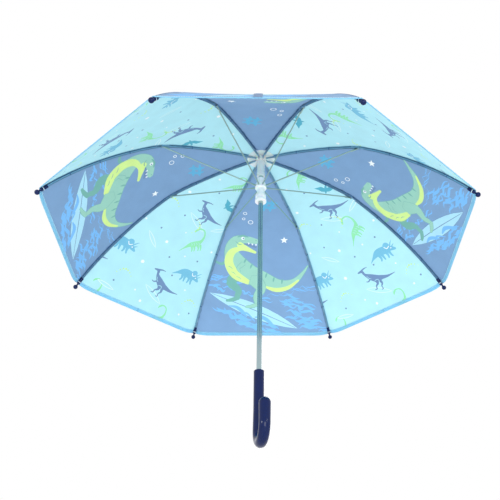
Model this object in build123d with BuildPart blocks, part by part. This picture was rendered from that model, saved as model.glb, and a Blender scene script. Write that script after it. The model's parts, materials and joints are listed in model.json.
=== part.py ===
"""Children's stick umbrella: steel frame with folding ribs, plastic hub parts, a crook handle
and an eight panel canopy. Millimetres, +Z up along the shaft, origin at the middle of the grip."""

import os
from math import atan2, cos, degrees, hypot, radians, sin

from build123d import *

os.makedirs("parts", exist_ok=True)

# ---- driving dimensions -------------------------------------------------------------------
RIBS = 8
RIB_STEP = 360 / RIBS
FIRST_RIB = RIB_STEP / 2
HALF_STEP = RIB_STEP / 2

TIP_RADIUS = 355.0          # shaft axis to the centre of a tip ball
TIP_HEIGHT = 257.5
HINGE_RADIUS = 8.0          # tie wires in the crown and in the runner
CROWN_HINGE_HEIGHT = 436.5
ELBOW_RADIUS = 176.0        # rivet where stretcher, inner rib and outer rib meet
ELBOW_HEIGHT = 406.5
RUNNER_HINGE_HEIGHT = 2 * ELBOW_HEIGHT - CROWN_HINGE_HEIGHT
INNER_RIB_TURN = 14.0       # degrees by which the rib bends along its length
OUTER_RIB_TURN = 23.0

SHAFT_RADIUS = 4.0
SHAFT_WALL = 0.6
SHAFT_BOTTOM = -25.0
SHAFT_TOP = 470.0

RIB_HALF_WIDTH = 1.3
RIB_HALF_HEIGHT = 1.0
RIB_SHEET = 0.5
WIRE_RADIUS = 1.0
TIE_WIRE_RADIUS = 0.5
TIE_EYE_HOLE = 0.6
TIE_EYE_RADIUS = 1.6
TIE_EYE_HALF_WIDTH = 0.8
SLOT_WIDTH = 2.2
SLOT_FLOOR_RADIUS = 5.9

RIVET_RADIUS = 0.8
RIVET_HOLE = 0.86
RIVET_HEAD_RADIUS = 1.5
RIVET_HEAD_HEIGHT = 0.5
ELBOW_EYE_RADIUS = 1.9
ELBOW_PLATE = (0.2, 1.6)    # distance of an eye plate's two faces from the rib's middle plane
CHEEK_PLATE = (1.8, 2.4)
WEB_THICKNESS = 0.6
CLIP_LENGTH = 12.0          # of the bracket's cheeks, back from the elbow
CLIP_WEB_END = 5.0
CLIP_EYE_RADIUS = 2.2

CROWN_TOP = 439.7
CROWN_RING_BOTTOM = 431.5
CROWN_RING_RADIUS = 9.7
CROWN_SKIRT_BOTTOM = 398.0

RUNNER_BORE = 4.25
RUNNER_TOP = RUNNER_HINGE_HEIGHT + 17.8
RUNNER_BOTTOM = RUNNER_HINGE_HEIGHT - 32.7
RUNNER_RING_HALF = 4.5
RUNNER_FLANGE_RADIUS = 9.65
RUNNER_COLLAR_RADIUS = 6.0
RUNNER_SILL = 2.2           # full ring below the catch slot, which the catches hold
RUNNER_WINDOW = 11.0

PANEL_THICKNESS = 0.8
PANEL_LIFT = 3.3            # underside of the canopy above the middle line of a rib
PANEL_GAP = 0.3             # between two panels, along a rib
PANEL_INNER = 4.8
PANEL_SHORT_OF_TIP = 8.0
PANEL_CREST = 441.4         # underside at the apex, over the washer

GRIP_RADIUS = 7.9
GRIP_TOP = 31.0
GRIP_STRAIGHT_END = -31.0
HOOK_RADIUS = 8.4
HOOK_BEND = 22.4
HOOK_CENTRE_HEIGHT = -64.3
HOOK_LEG_TOP = -38.3
HOOK_END_RADIUS = 8.7
HOOK_DIRECTION = -78.0      # azimuth towards which the crook opens

CATCH_SIDE = 90.0           # azimuth of both spring catches
CATCH_HALF_WIDTH = 0.8
CATCH_NOSE = 5.8
CATCH_LENGTH = 16.0
TOP_CATCH_FACE = RUNNER_BOTTOM - 0.4
BOTTOM_CATCH_FACE = 67.2

CROWN_HINGE = (HINGE_RADIUS, CROWN_HINGE_HEIGHT)
ELBOW = (ELBOW_RADIUS, ELBOW_HEIGHT)
RUNNER_HINGE = (HINGE_RADIUS, RUNNER_HINGE_HEIGHT)
TIP = (TIP_RADIUS, TIP_HEIGHT)


# ---- helpers ------------------------------------------------------------------------------
def rib_azimuth(number):
    return FIRST_RIB + RIB_STEP * (number - 1)


def radial_plane(azimuth, side=0.0):
    """Upright plane through the shaft: local x runs outwards, local y up. side moves it sideways."""
    a = radians(azimuth)
    out, normal = Vector(cos(a), sin(a), 0), Vector(sin(a), -cos(a), 0)
    return Plane(origin=normal * side, x_dir=out, z_dir=normal)


def in_space(azimuth, point):
    a = radians(azimuth)
    return Vector(point[0] * cos(a), point[0] * sin(a), point[1])


class RibArc:
    """Arc in the radial plane that bends down by turn degrees from start to end."""

    def __init__(self, start, end, turn):
        chord = hypot(end[0] - start[0], end[1] - start[1])
        fall = degrees(atan2(start[1] - end[1], end[0] - start[0]))
        self.radius = chord / (2 * sin(radians(turn / 2)))
        self.first, self.last = fall - turn / 2, fall + turn / 2
        s = radians(self.first)
        self.centre = (start[0] - self.radius * sin(s), start[1] - self.radius * cos(s))

    def slope(self, distance):
        """Slope at a distance along the arc, counted from the end when negative."""
        turned = degrees(abs(distance) / self.radius)
        return self.first + turned if distance >= 0 else self.last - turned

    def point(self, slope, lift=0.0):
        s, r = radians(slope), self.radius + lift
        return (self.centre[0] + r * sin(s), self.centre[1] + r * cos(s))

    def strip(self, slopes, low, high):
        """Face of the strip between two slopes and two lifts."""
        start, end = slopes
        with BuildSketch() as outline:
            with BuildLine():
                CenterArc(self.centre, self.radius + high, 90 - end, end - start)
                CenterArc(self.centre, self.radius + low, 90 - end, end - start)
                Line(self.point(start, low), self.point(start, high))
                Line(self.point(end, low), self.point(end, high))
            make_face()
        return outline.sketch


def bar(start, end, half):
    """Face of a straight strip from start to end."""
    length = hypot(end[0] - start[0], end[1] - start[1])
    nx, nz = (start[1] - end[1]) / length * half, (end[0] - start[0]) / length * half
    with BuildSketch() as outline:
        with BuildLine():
            Polyline(
                (start[0] + nx, start[1] + nz),
                (end[0] + nx, end[1] + nz),
                (end[0] - nx, end[1] - nz),
                (start[0] - nx, start[1] - nz),
                close=True,
            )
        make_face()
    return outline.sketch


def between(start, end, distance):
    """Point at a distance from start towards end."""
    share = distance / hypot(end[0] - start[0], end[1] - start[1])
    return tuple(a + (b - a) * share for a, b in zip(start, end))


def finish(piece, name):
    piece.part.label = name
    export_step(piece.part, f"parts/{name}.step")


INNER_ARC = RibArc(CROWN_HINGE, ELBOW, INNER_RIB_TURN)
OUTER_ARC = RibArc(ELBOW, TIP, OUTER_RIB_TURN)
CHANNEL_START = 7.0         # a rib's channel starts this far from the crown hinge
INNER_RIB_END = -6.0        # and stops this far short of the elbow
OUTER_CHANNEL_START = 9.0
SLEEVE_DEPTH = -8.0         # where the outer rib ends inside its tip, measured from the ball
PLATE_HALF_HEIGHT = 1.2


def channel(arc, plane, slopes):
    """Rolled steel channel, open below, along an arc."""
    with BuildSketch(plane) as outside:
        add(arc.strip(slopes, -RIB_HALF_HEIGHT, RIB_HALF_HEIGHT))
    extrude(outside.sketch, amount=RIB_HALF_WIDTH, both=True)
    with BuildSketch(plane) as inside:
        add(arc.strip(slopes, -RIB_HALF_HEIGHT, RIB_HALF_HEIGHT - RIB_SHEET))
    extrude(inside.sketch, amount=RIB_HALF_WIDTH - RIB_SHEET, both=True, mode=Mode.SUBTRACT)


def hole(plane, point, radius, through=3.0):
    with BuildSketch(plane) as circle:
        with Locations(point):
            Circle(radius)
    extrude(circle.sketch, amount=through, both=True, mode=Mode.SUBTRACT)


# ---- ribs, stretchers and tips --------------------------------------------------------------
def make_inner_rib(number):
    plane = radial_plane(rib_azimuth(number))
    with BuildPart() as rib_inner:
        channel(INNER_ARC, plane, (INNER_ARC.slope(CHANNEL_START), INNER_ARC.slope(INNER_RIB_END)))
        with BuildSketch(plane):
            add(INNER_ARC.strip((INNER_ARC.first, INNER_ARC.slope(CHANNEL_START + 4)),
                                -PLATE_HALF_HEIGHT, PLATE_HALF_HEIGHT))
            with Locations(CROWN_HINGE):
                Circle(TIE_EYE_RADIUS)
        extrude(amount=TIE_EYE_HALF_WIDTH, both=True)
        hole(plane, CROWN_HINGE, TIE_EYE_HOLE)
    finish(rib_inner, f"rib_inner_{number}")


def make_bracket(number):
    """Clip crimped over the inner rib's end, whose rivet carries the stretcher and the outer rib."""
    azimuth = rib_azimuth(number)
    clip_start, web_end = INNER_ARC.slope(-CLIP_LENGTH), INNER_ARC.slope(-CLIP_WEB_END)
    low, high = CHEEK_PLATE
    top = RIB_HALF_HEIGHT + WEB_THICKNESS
    with BuildPart() as bracket:
        for side in (low, -high):
            with BuildSketch(radial_plane(azimuth, side)):
                add(INNER_ARC.strip((clip_start, INNER_ARC.last), -RIB_HALF_HEIGHT, top))
                with Locations(ELBOW):
                    Circle(CLIP_EYE_RADIUS)
            extrude(amount=high - low)
        with BuildSketch(radial_plane(azimuth)):
            add(INNER_ARC.strip((clip_start, web_end), RIB_HALF_HEIGHT, top))
        extrude(amount=high, both=True)
        with BuildSketch(radial_plane(azimuth)):
            with Locations(ELBOW):
                Circle(RIVET_RADIUS)
        extrude(amount=high + RIVET_HEAD_HEIGHT, both=True)
        for side in (high, -high - RIVET_HEAD_HEIGHT):
            with BuildSketch(radial_plane(azimuth, side)):
                with Locations(ELBOW):
                    Circle(RIVET_HEAD_RADIUS)
            extrude(amount=RIVET_HEAD_HEIGHT)
    finish(bracket, f"bracket_{number}")


def make_outer_rib(number):
    azimuth = rib_azimuth(number)
    plane = radial_plane(azimuth)
    low, high = ELBOW_PLATE
    with BuildPart() as rib_outer:
        channel(OUTER_ARC, plane, (OUTER_ARC.slope(OUTER_CHANNEL_START), OUTER_ARC.slope(SLEEVE_DEPTH)))
        with BuildSketch(radial_plane(azimuth, low)):
            add(OUTER_ARC.strip((OUTER_ARC.first, OUTER_ARC.slope(OUTER_CHANNEL_START + 3)),
                                -PLATE_HALF_HEIGHT, PLATE_HALF_HEIGHT))
            with Locations(ELBOW):
                Circle(ELBOW_EYE_RADIUS)
        extrude(amount=high - low)
        hole(plane, ELBOW, RIVET_HOLE)
    finish(rib_outer, f"rib_outer_{number}")


def make_stretcher(number):
    azimuth = rib_azimuth(number)
    low, high = ELBOW_PLATE
    elbow_flat, runner_flat = 13.0, 10.0        # lengths of the wire's flattened ends
    wire_start = between(RUNNER_HINGE, ELBOW, runner_flat - 3)
    wire_end = between(ELBOW, RUNNER_HINGE, elbow_flat - 3)
    with BuildPart() as stretcher:
        start, end = in_space(azimuth, wire_start), in_space(azimuth, wire_end)
        with BuildSketch(Plane(origin=start, z_dir=end - start)):
            Circle(WIRE_RADIUS)
        extrude(amount=(end - start).length)
        with BuildSketch(radial_plane(azimuth, -high)):
            add(bar(ELBOW, between(ELBOW, RUNNER_HINGE, elbow_flat), PLATE_HALF_HEIGHT))
            with Locations(ELBOW):
                Circle(ELBOW_EYE_RADIUS)
        extrude(amount=high - low)
        with BuildSketch(radial_plane(azimuth)):
            add(bar(RUNNER_HINGE, between(RUNNER_HINGE, ELBOW, runner_flat), PLATE_HALF_HEIGHT))
            with Locations(RUNNER_HINGE):
                Circle(TIE_EYE_RADIUS)
        extrude(amount=TIE_EYE_HALF_WIDTH, both=True)
        hole(radial_plane(azimuth), RUNNER_HINGE, TIE_EYE_HOLE)
        hole(radial_plane(azimuth), ELBOW, RIVET_HOLE)
    finish(stretcher, f"stretcher_{number}")


TIP_BALL_RADIUS = 4.0
TIP_NECK_RADIUS = 1.5
TIP_SLEEVE_RADIUS = 2.7
TIP_SLEEVE = (6.0, 20.0)    # from the ball's centre back along the rib


def make_tip(number):
    azimuth = rib_azimuth(number)
    plane = radial_plane(azimuth)
    sleeve_end = OUTER_ARC.point(OUTER_ARC.slope(-TIP_SLEEVE[1]))
    back = between((0, 0), tuple(a - b for a, b in zip(sleeve_end, TIP)), 1.0)
    side = (back[1], -back[0])

    def along(distance, radius):
        return (TIP[0] + back[0] * distance + side[0] * radius,
                TIP[1] + back[1] * distance + side[1] * radius)

    start, end = TIP_SLEEVE
    shoulder = TIP_SLEEVE_RADIUS - TIP_NECK_RADIUS
    with BuildPart() as tip:
        with BuildSketch(plane):
            with BuildLine():
                CenterArc(TIP, TIP_BALL_RADIUS, degrees(atan2(side[1], side[0])) - 90, 180)
                Line(along(-TIP_BALL_RADIUS, 0), along(TIP_BALL_RADIUS, 0))
            make_face()
        revolve(axis=Axis(in_space(azimuth, TIP), in_space(azimuth, along(1, 0)) - in_space(azimuth, TIP)))
        with BuildSketch(plane):
            with BuildLine():
                Polyline(
                    along(0, 0),
                    along(0, TIP_NECK_RADIUS),
                    along(start, TIP_NECK_RADIUS),
                    along(start + shoulder, TIP_SLEEVE_RADIUS),
                    along(end - 0.6, TIP_SLEEVE_RADIUS),
                    along(end, TIP_SLEEVE_RADIUS - 0.4),
                    along(end, 0),
                    close=True,
                )
            make_face()
        revolve(axis=Axis(in_space(azimuth, TIP), in_space(azimuth, along(1, 0)) - in_space(azimuth, TIP)))
        with BuildSketch(plane):
            add(OUTER_ARC.strip((OUTER_ARC.slope(-end - 2), OUTER_ARC.slope(SLEEVE_DEPTH)),
                                -RIB_HALF_HEIGHT, RIB_HALF_HEIGHT))
        extrude(amount=RIB_HALF_WIDTH, both=True, mode=Mode.SUBTRACT)
    finish(tip, f"tip_{number}")


# ---- canopy -----------------------------------------------------------------------------------
MID_SHARE = cos(radians(HALF_STEP))     # a panel's middle is nearer the shaft than its seams


def panel_point(arc, slope, lift):
    r, z = arc.point(slope, lift)
    return (r * MID_SHARE, z)


def outer_strip(slopes, low, high):
    """Face of a strip of the canopy's outer band, in a panel's middle plane."""
    start, end = slopes
    middle = (start + end) / 2
    with BuildSketch() as outline:
        with BuildLine():
            for lift in (low, high):
                ThreePointArc(*(panel_point(OUTER_ARC, s, lift) for s in (start, middle, end)))
            for s in (start, end):
                Line(panel_point(OUTER_ARC, s, low), panel_point(OUTER_ARC, s, high))
        make_face()
    return outline.sketch


def inner_strip(low, high):
    """Face of the canopy's inner band, from the apex to the elbow."""
    crest = PANEL_CREST + low - PANEL_LIFT
    thick = high - low
    flat_end = 10.5
    ends = []
    with BuildSketch() as outline:
        with BuildLine():
            for lift, rise in ((low, 0), (high, thick)):
                inner, brow = (PANEL_INNER, crest + rise), (flat_end, crest - 0.3 + rise)
                middle = panel_point(INNER_ARC, INNER_ARC.slope(ELBOW_RADIUS / 2), lift)
                elbow = panel_point(OUTER_ARC, OUTER_ARC.first, lift)
                Line(inner, brow)
                ThreePointArc(brow, middle, elbow)
                ends.append((inner, elbow))
            Line(ends[0][0], ends[1][0])
            Line(ends[0][1], ends[1][1])
        make_face()
    return outline.sketch


def make_canopy_panel(number):
    middle = rib_azimuth(number) + HALF_STEP
    wide = TIP_RADIUS * 1.2
    point = PANEL_GAP / 2 / sin(radians(HALF_STEP))
    with BuildPart() as canopy_panel:
        with BuildSketch(radial_plane(middle)):
            add(inner_strip(PANEL_LIFT, PANEL_LIFT + PANEL_THICKNESS))
            add(outer_strip((OUTER_ARC.first, OUTER_ARC.slope(-PANEL_SHORT_OF_TIP)),
                            PANEL_LIFT, PANEL_LIFT + PANEL_THICKNESS))
        extrude(amount=wide / 2, both=True)
        with BuildSketch(Plane.XY.rotated((0, 0, middle))):
            with BuildLine():
                Polyline(
                    (point, 0),
                    (point + wide, wide * sin(radians(HALF_STEP)) / cos(radians(HALF_STEP))),
                    (point + wide, -wide * sin(radians(HALF_STEP)) / cos(radians(HALF_STEP))),
                    close=True,
                )
            make_face()
        extrude(amount=CROWN_TOP + 50, mode=Mode.INTERSECT)
    finish(canopy_panel, f"canopy_panel_{number}")


def make_closure_strap(number):
    """Strap that holds the rolled umbrella, sewn at the hem and lying up the outside of a panel."""
    on_panel = PANEL_LIFT + PANEL_THICKNESS
    with BuildPart() as closure_strap:
        with BuildSketch(radial_plane(rib_azimuth(number) + HALF_STEP)):
            add(outer_strip((OUTER_ARC.slope(-95.0), OUTER_ARC.slope(-PANEL_SHORT_OF_TIP - 1)),
                            on_panel + 0.4, on_panel + 1.3))
        extrude(amount=6.0, both=True)
    finish(closure_strap, "closure_strap")


# ---- hub ----------------------------------------------------------------------------------------
def ring_slots(bottom, top):
    """Cuts the eight hinge slots of the crown or of the runner."""
    reach = CROWN_RING_RADIUS + 1.5
    with BuildSketch(Plane.XY.offset(bottom)) as slots:
        with PolarLocations((SLOT_FLOOR_RADIUS + reach) / 2, RIBS, start_angle=FIRST_RIB):
            Rectangle(reach - SLOT_FLOOR_RADIUS, SLOT_WIDTH)
    extrude(slots.sketch, amount=top - bottom, mode=Mode.SUBTRACT)


def tie_ring(height, mode=Mode.ADD):
    with BuildSketch(Plane.XZ) as wire:
        with Locations((HINGE_RADIUS, height)):
            Circle(TIE_WIRE_RADIUS)
    revolve(wire.sketch, axis=Axis.Z, mode=mode)


def turned(points):
    """Revolves a closed outline of (radius, height) points about the shaft."""
    with BuildSketch(Plane.XZ) as outline:
        with BuildLine():
            Polyline(*points, close=True)
        make_face()
    revolve(outline.sketch, axis=Axis.Z)


def make_crown():
    skirt = 6.4
    with BuildPart() as crown:
        turned([
            (SHAFT_RADIUS, CROWN_TOP),
            (CROWN_RING_RADIUS - 0.6, CROWN_TOP),
            (CROWN_RING_RADIUS, CROWN_TOP - 0.6),
            (CROWN_RING_RADIUS, CROWN_RING_BOTTOM + 0.5),
            (CROWN_RING_RADIUS - 0.5, CROWN_RING_BOTTOM),
            (skirt, CROWN_RING_BOTTOM),
            (skirt, CROWN_SKIRT_BOTTOM + 9),
            (skirt + 0.7, CROWN_SKIRT_BOTTOM + 7.5),
            (skirt + 0.7, CROWN_SKIRT_BOTTOM + 0.6),
            (skirt + 0.1, CROWN_SKIRT_BOTTOM),
            (SHAFT_RADIUS, CROWN_SKIRT_BOTTOM),
        ])
        ring_slots(CROWN_RING_BOTTOM - 0.1, CROWN_HINGE_HEIGHT + TIE_EYE_RADIUS + 0.2)
        tie_ring(CROWN_HINGE_HEIGHT, Mode.SUBTRACT)
    finish(crown, "crown")
    with BuildPart() as crown_tie_wire:
        tie_ring(CROWN_HINGE_HEIGHT)
    finish(crown_tie_wire, "crown_tie_wire")


def make_canopy_washer():
    rim, thick = 24.0, 0.6
    with BuildPart() as canopy_washer:
        turned([
            (SHAFT_RADIUS + 0.5, CROWN_TOP),
            (CROWN_RING_RADIUS + 0.5, CROWN_TOP),
            (rim, CROWN_TOP - 2.7),
            (rim, CROWN_TOP - 2.7 + thick),
            (CROWN_RING_RADIUS + 0.7, CROWN_TOP + thick),
            (SHAFT_RADIUS + 0.5, CROWN_TOP + thick),
        ])
    finish(canopy_washer, "canopy_washer")


def catch_slot(bottom, top, depth):
    """Slot in the runner's bore, above its sill, for the noses of the two catches."""
    with BuildSketch(Plane.XY.offset(bottom)) as slot:
        with PolarLocations((depth + 1) / 2, 1, start_angle=CATCH_SIDE):
            Rectangle(depth - 1, 2 * CATCH_HALF_WIDTH + 0.8)
    extrude(slot.sketch, amount=top - bottom, mode=Mode.SUBTRACT)


def make_runner():
    ring_top, ring_bottom = (RUNNER_HINGE_HEIGHT + s * RUNNER_RING_HALF for s in (1, -1))
    collar, neck, bulge, groove = RUNNER_COLLAR_RADIUS, 6.5, 9.0, 7.6
    bulge_top, bulge_bottom = RUNNER_BOTTOM + 17.5, RUNNER_BOTTOM + 7.5
    flange_top = RUNNER_BOTTOM + 4.7
    with BuildPart() as runner:
        turned([
            (RUNNER_BORE, RUNNER_TOP),
            (collar - 0.6, RUNNER_TOP),
            (collar, RUNNER_TOP - 0.6),
            (collar, ring_top),
            (RUNNER_FLANGE_RADIUS - 0.5, ring_top),
            (RUNNER_FLANGE_RADIUS, ring_top - 0.5),
            (RUNNER_FLANGE_RADIUS, ring_bottom + 0.8),
            (RUNNER_FLANGE_RADIUS - 1.2, ring_bottom),
            (neck, ring_bottom - 0.6),
            (neck, bulge_top),
            (bulge - 0.8, bulge_top - 1.8),
            (bulge, bulge_top - 4.0),
            (bulge, bulge_bottom + 1.0),
            (groove, bulge_bottom),
            (groove, flange_top),
            (RUNNER_FLANGE_RADIUS, flange_top - 0.5),
            (RUNNER_FLANGE_RADIUS, RUNNER_BOTTOM + 0.8),
            (RUNNER_FLANGE_RADIUS - 0.8, RUNNER_BOTTOM),
            (RUNNER_BORE, RUNNER_BOTTOM),
        ])
        ring_slots(RUNNER_HINGE_HEIGHT - TIE_EYE_RADIUS - 0.3, ring_top + 0.1)
        tie_ring(RUNNER_HINGE_HEIGHT, Mode.SUBTRACT)
        sill = RUNNER_BOTTOM + RUNNER_SILL
        catch_slot(sill, sill + RUNNER_WINDOW, RUNNER_FLANGE_RADIUS + 1)
        catch_slot(sill, RUNNER_TOP + 0.1, RUNNER_COLLAR_RADIUS + 0.1)
    finish(runner, "runner")
    with BuildPart() as runner_tie_wire:
        tie_ring(RUNNER_HINGE_HEIGHT)
    finish(runner_tie_wire, "runner_tie_wire")


# ---- shaft, catches and ferrule ---------------------------------------------------------------
def catch_pivot(face, towards):
    return (-0.3, face + towards * CATCH_LENGTH)


def make_catch(name, face, towards):
    """Sprung tongue in the shaft. Its face holds the runner; it pivots towards the other end."""
    pivot = catch_pivot(face, towards)
    with BuildPart() as catch:
        with BuildSketch(radial_plane(CATCH_SIDE)):
            with BuildLine():
                Polyline(
                    (0.9, face),
                    (CATCH_NOSE, face + towards * 0.7),
                    (CATCH_NOSE, face + towards * 1.5),
                    (3.0, face + towards * 7.0),
                    (0.6, pivot[1]),
                    (-1.6, pivot[1]),
                    (-0.6, face + towards * 7.0),
                    close=True,
                )
            make_face()
            with Locations(pivot):
                Circle(1.3)
        extrude(amount=CATCH_HALF_WIDTH, both=True)
        hole(radial_plane(CATCH_SIDE), pivot, 0.56)
    finish(catch, name)


def make_shaft():
    """Steel tube, with a window for each catch and a cross hole for each catch's rivet."""
    with BuildPart() as shaft:
        with BuildSketch(Plane.XY.offset(SHAFT_BOTTOM)):
            Circle(SHAFT_RADIUS)
            Circle(SHAFT_RADIUS - SHAFT_WALL, mode=Mode.SUBTRACT)
        extrude(amount=SHAFT_TOP - SHAFT_BOTTOM)
        for face, towards in ((TOP_CATCH_FACE, -1), (BOTTOM_CATCH_FACE, 1)):
            with BuildSketch(radial_plane(CATCH_SIDE)):
                with BuildLine():
                    Polyline(
                        (0.0, face - towards * 1.6),
                        (SHAFT_RADIUS + 1, face - towards * 1.6),
                        (SHAFT_RADIUS + 1, face + towards * 10.5),
                        (0.0, face + towards * 10.5),
                        close=True,
                    )
                make_face()
            extrude(amount=1.15, both=True, mode=Mode.SUBTRACT)
            hole(radial_plane(CATCH_SIDE), catch_pivot(face, towards), 0.5, SHAFT_RADIUS + 1)
    finish(shaft, "shaft")
    with BuildPart() as catch_rivets:
        for face, towards in ((TOP_CATCH_FACE, -1), (BOTTOM_CATCH_FACE, 1)):
            with BuildSketch(radial_plane(CATCH_SIDE)):
                with Locations(catch_pivot(face, towards)):
                    Circle(0.5)
            extrude(amount=SHAFT_RADIUS - 0.1, both=True)
    finish(catch_rivets, "catch_rivets")


FERRULE_BOTTOM = 442.9
FERRULE_TOP = 497.0


def make_ferrule():
    base, tube = 9.0, 5.1
    with BuildPart() as ferrule:
        turned([
            (SHAFT_RADIUS, FERRULE_BOTTOM),
            (base - 0.8, FERRULE_BOTTOM),
            (base, FERRULE_BOTTOM + 0.8),
            (base - 0.4, FERRULE_BOTTOM + 2.4),
            (tube + 1.2, FERRULE_BOTTOM + 6.5),
            (tube + 0.2, FERRULE_BOTTOM + 12.0),
            (tube, FERRULE_BOTTOM + 15.0),
            (tube, FERRULE_TOP - 2.2),
            (tube - 0.8, FERRULE_TOP - 0.8),
            (tube - 2.2, FERRULE_TOP),
            (0, FERRULE_TOP),
            (0, SHAFT_TOP),
            (SHAFT_RADIUS, SHAFT_TOP),
        ])
    finish(ferrule, "ferrule")


# ---- handle --------------------------------------------------------------------------------------
def make_handle():
    hook_plane = radial_plane(HOOK_DIRECTION)
    leg = 2 * HOOK_BEND
    with BuildPart() as handle:
        turned([
            (0, GRIP_TOP),
            (GRIP_RADIUS - 1.0, GRIP_TOP),
            (GRIP_RADIUS, GRIP_TOP - 1.0),
            (GRIP_RADIUS, GRIP_STRAIGHT_END),
            (HOOK_RADIUS, HOOK_CENTRE_HEIGHT),
            (0, HOOK_CENTRE_HEIGHT),
        ])
        with BuildSketch(Plane.XY.offset(HOOK_CENTRE_HEIGHT)):
            Circle(HOOK_RADIUS)
        bend_middle = in_space(HOOK_DIRECTION, (HOOK_BEND, HOOK_CENTRE_HEIGHT))
        revolve(axis=Axis(bend_middle, hook_plane.z_dir), revolution_arc=180)
        with BuildSketch(hook_plane):
            with BuildLine():
                Polyline(
                    (leg, HOOK_CENTRE_HEIGHT),
                    (leg + HOOK_RADIUS, HOOK_CENTRE_HEIGHT),
                    (leg + HOOK_END_RADIUS, HOOK_LEG_TOP),
                )
                CenterArc((leg, HOOK_LEG_TOP), HOOK_END_RADIUS, 0, 90)
                Line((leg, HOOK_LEG_TOP + HOOK_END_RADIUS), (leg, HOOK_CENTRE_HEIGHT))
            make_face()
        revolve(axis=Axis(in_space(HOOK_DIRECTION, (leg, HOOK_LEG_TOP)), (0, 0, 1)))
        with BuildSketch(Plane.XY.offset(SHAFT_BOTTOM)):
            Circle(SHAFT_RADIUS)
        extrude(amount=GRIP_TOP - SHAFT_BOTTOM + 1, mode=Mode.SUBTRACT)
    finish(handle, "handle")


for number in range(1, RIBS + 1):
    make_inner_rib(number)
    make_bracket(number)
    make_outer_rib(number)
    make_tip(number)
    make_stretcher(number)
    make_canopy_panel(number)

STRAP_PANEL = 6             # the panel whose middle faces azimuth 270
make_closure_strap(STRAP_PANEL)
make_crown()
make_canopy_washer()
make_runner()
make_catch("top_catch", TOP_CATCH_FACE, -1)
make_catch("bottom_catch", BOTTOM_CATCH_FACE, 1)
make_shaft()
make_ferrule()
make_handle()
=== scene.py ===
"""Looks of a children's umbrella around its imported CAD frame. Metres, +Z up along the shaft.

Rib k stands at azimuth 22.5 + 45 (k - 1) degrees and panel k lies between ribs k and k + 1. The
cloth is laid out flat, as (across, along): across a panel from its middle line, positive towards
the rib with the same number, and along a rib from the apex. Print sizes are in millimetres."""

import json
import math

import bpy
import numpy as np
from mathutils import Matrix, Vector
from mathutils.geometry import delaunay_2d_cdt


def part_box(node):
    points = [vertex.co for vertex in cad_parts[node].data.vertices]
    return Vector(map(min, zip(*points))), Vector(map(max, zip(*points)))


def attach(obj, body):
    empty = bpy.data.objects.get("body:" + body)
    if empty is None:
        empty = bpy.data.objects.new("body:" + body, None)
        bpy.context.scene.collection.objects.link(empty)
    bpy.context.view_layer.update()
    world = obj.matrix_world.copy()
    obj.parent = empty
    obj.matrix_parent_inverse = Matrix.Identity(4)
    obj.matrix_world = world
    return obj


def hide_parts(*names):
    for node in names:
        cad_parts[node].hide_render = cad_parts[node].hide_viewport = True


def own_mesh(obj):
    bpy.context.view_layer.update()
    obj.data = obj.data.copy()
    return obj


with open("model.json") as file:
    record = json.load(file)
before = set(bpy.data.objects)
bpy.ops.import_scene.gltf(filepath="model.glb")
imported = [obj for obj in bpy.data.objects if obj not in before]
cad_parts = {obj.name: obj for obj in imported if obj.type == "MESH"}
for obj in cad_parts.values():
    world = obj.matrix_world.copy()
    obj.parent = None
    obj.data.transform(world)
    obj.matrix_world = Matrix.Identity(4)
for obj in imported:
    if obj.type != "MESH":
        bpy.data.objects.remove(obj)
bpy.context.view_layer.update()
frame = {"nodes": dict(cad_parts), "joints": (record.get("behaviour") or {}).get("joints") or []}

MM = 0.001
RIBS = 8
STEP = math.radians(360 / RIBS)
HALF = STEP / 2

# ---- driving numbers ----------------------------------------------------------------------------
INNER_RIB_TURN, OUTER_RIB_TURN = math.radians(14.0), math.radians(23.0)
CLOTH_LIFT = 3.7 * MM               # cloth above the middle line of a rib
APEX = (5.2 * MM, 441.9 * MM)       # edge of the hole in the cloth, and its height
BROW = (10.5 * MM, 441.5 * MM)      # where the cloth leaves the washer
TIP_BALL = 4.0 * MM                 # radius of the ball on a tip
SHORT_OF_TIP = 8.0 * MM             # from the hem's corner to the middle of that ball
PAST_HINGE, PAST_ELBOW = 24 * MM, 8 * MM    # parts of the rib arcs that the cloth's line cuts off
EASING = 9                          # points each way over which its corners are rounded
SAG = 3.0 * MM                      # how far a panel hangs in between its ribs
TAUT_APEX, TAUT_HEM = 60 * MM, 120 * MM     # lengths over which the sag grows and dies away
FOLDS = ((0.5 * MM, 9 * MM, 2.0), (0.4 * MM, 4.3 * MM, 0.0))    # height, spacing and lean of stretch folds
FOLDS_NEAR_SEAM, FOLDS_END = 3, 6.0         # how closely they keep to a seam, and how fast they end at it
HEM_SWELL = 6.0 * MM                # how far a hem stands out past the line between its two tips
HEM_SQUARENESS = 12                 # the higher, the nearer to its corners the swell lasts
HEM_WIDTH = 7.2 * MM
SEAM_WIDTH = 2.5 * MM               # seam allowance, each side
WAVE, WAVE_SPACING = 1.2 * MM, 4.6 * MM     # how far the free edge of a navy allowance wanders
CROWN_BAND = 100 * MM               # the cloth this near the apex folds less tightly than the rest
ELBOW_RANGE, ELBOW_HALVINGS = (100 * MM, 300 * MM), 30  # search for the elbows along the cloth
KEEP = {"crown": 0.32, "inner": 0.17, "outer": 0.125}   # share of its breadth that a closed band keeps
SEAM_START, SEAM_SHORT = 20 * MM, 2 * MM    # where a seam begins, and how far before the hem it ends
TIES = {"crown": (62 * MM,), "inner": (122 * MM,), "outer": (236 * MM, 292 * MM, 348 * MM)}
CORNER_THREAD = 3 * MM              # from the hem to the windings that hold its corner on the tip
STRAP_PANEL = 6                     # the panel that faces -Y
STRAP_HALF, STRAP_LENGTH = 6.0 * MM, 91 * MM
STRAP_PAST_HEM, STUD_FROM_HEM = 3 * MM, 80 * MM

# ---- the cloth's line over a rib ----------------------------------------------------------------
joints = {j["name"]: j for j in frame["joints"]}


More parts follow.
